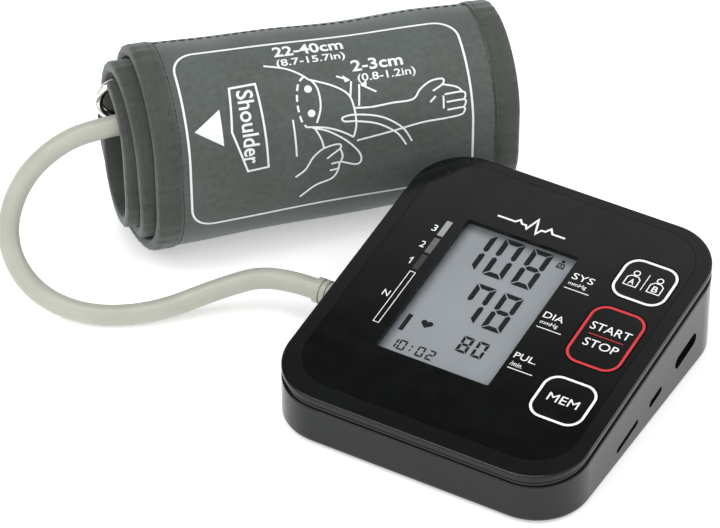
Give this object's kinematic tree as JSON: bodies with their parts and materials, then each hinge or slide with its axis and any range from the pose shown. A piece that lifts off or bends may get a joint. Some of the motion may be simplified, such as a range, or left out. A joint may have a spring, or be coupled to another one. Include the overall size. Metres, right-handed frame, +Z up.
{
  "type": "upper arm blood pressure monitor with cuff",
  "caption": "Wedge-shaped desktop blood pressure monitor with display and keys, joined by a short air hose to its rolled-up arm cuff.",
  "frame": {"origin": "middle of the footprint of monitor and cuff, on the surface they stand on", "axes": "+X to the monitor's right, +Y to its rear, +Z up"},
  "size_m": [0.2501, 0.1972, 0.0815],
  "materials": {
    "satin_black": "satin",
    "panel_gloss": "polished",
    "window_clear": "clear",
    "lcd_grey": "satin",
    "inner_plastic": "moulded",
    "soft_rubber": "matt",
    "board_green": "solder mask",
    "chip_black": "moulded",
    "motor_steel": "zinc plated",
    "silicone": "translucent",
    "housing_black": "satin gloss",
    "cell_wrap": "printed sleeve",
    "spring_nickel": "nickel plated",
    "nylon_grey": "coated nylon, fine weave",
    "nylon_dark": "brushed nylon",
    "binding_grey": "folded nylon tape",
    "hook_black": "hook tape",
    "bladder_rubber": "smooth",
    "hose_beige": "satin",
    "ring_chrome": "polished"
  },
  "bodies": {
    "monitor": {"top_case": "satin_black", "front_panel": "panel_gloss", "display_window": "window_clear", "lcd_glass": "lcd_grey", "lcd_holder": "inner_plastic", "contact_strips": "soft_rubber", "main_board": "board_green", "tact_switches": "inner_plastic", "board_chips": "chip_black", "buzzer": "chip_black", "pressure_sensor": "inner_plastic", "pump_motor": "motor_steel", "pump_head": "inner_plastic", "exhaust_valve": "motor_steel", "air_manifold": "inner_plastic", "air_tubes": "silicone", "hose_socket": "satin_black", "lower_housing": "housing_black", "battery_cells": "cell_wrap", "battery_springs": "spring_nickel", "power_socket": "chip_black", "rubber_feet": "soft_rubber", "case_screws": "spring_nickel"},
    "user_button": {"user_key": "panel_gloss"},
    "start_stop_button": {"start_stop_key": "panel_gloss"},
    "memory_button": {"memory_key": "panel_gloss"},
    "door": {"battery_door": "housing_black"},
    "cuff": {"cuff_cover": "nylon_grey", "cuff_liner": "nylon_dark", "air_bladder": "bladder_rubber", "bladder_nipple": "hose_beige", "left_binding": "binding_grey", "right_binding": "binding_grey", "hook_patch": "hook_black", "loop_patch": "nylon_dark", "ring_sleeve": "nylon_dark", "air_hose": "hose_beige", "air_plug": "hose_beige", "plug_collar": "hose_beige"},
    "ring": {"pull_ring": "ring_chrome"}
  },
  "joints": [
    {"name": "user_press", "type": "slide", "parent": "monitor", "child": "user_button", "axis": [0, 0.1374, -0.9905], "range_m": [0, 0.0008], "stiffness_N_per_m": 900, "springref_m": -0.0004},
    {"name": "start_stop_press", "type": "slide", "parent": "monitor", "child": "start_stop_button", "axis": [0, 0.1374, -0.9905], "range_m": [0, 0.0008], "stiffness_N_per_m": 900, "springref_m": -0.0004},
    {"name": "memory_press", "type": "slide", "parent": "monitor", "child": "memory_button", "axis": [0, 0.1374, -0.9905], "range_m": [0, 0.0008], "stiffness_N_per_m": 900, "springref_m": -0.0004},
    {"name": "door_slide", "type": "slide", "parent": "monitor", "child": "door", "axis": [0, 1, 0], "range_m": [0, 0.06]},
    {"name": "plug_pull", "type": "slide", "parent": "monitor", "child": "cuff", "axis": [-1, 0, 0], "range_m": [0, 0.012]},
    {"name": "ring_swing", "type": "hinge", "parent": "cuff", "child": "ring", "pos_m": [-0.05171, 0.02926, 0.06531], "axis": [0.6959, 0.7172, -0.0383], "range_deg": [-20, 35]}
  ]
}
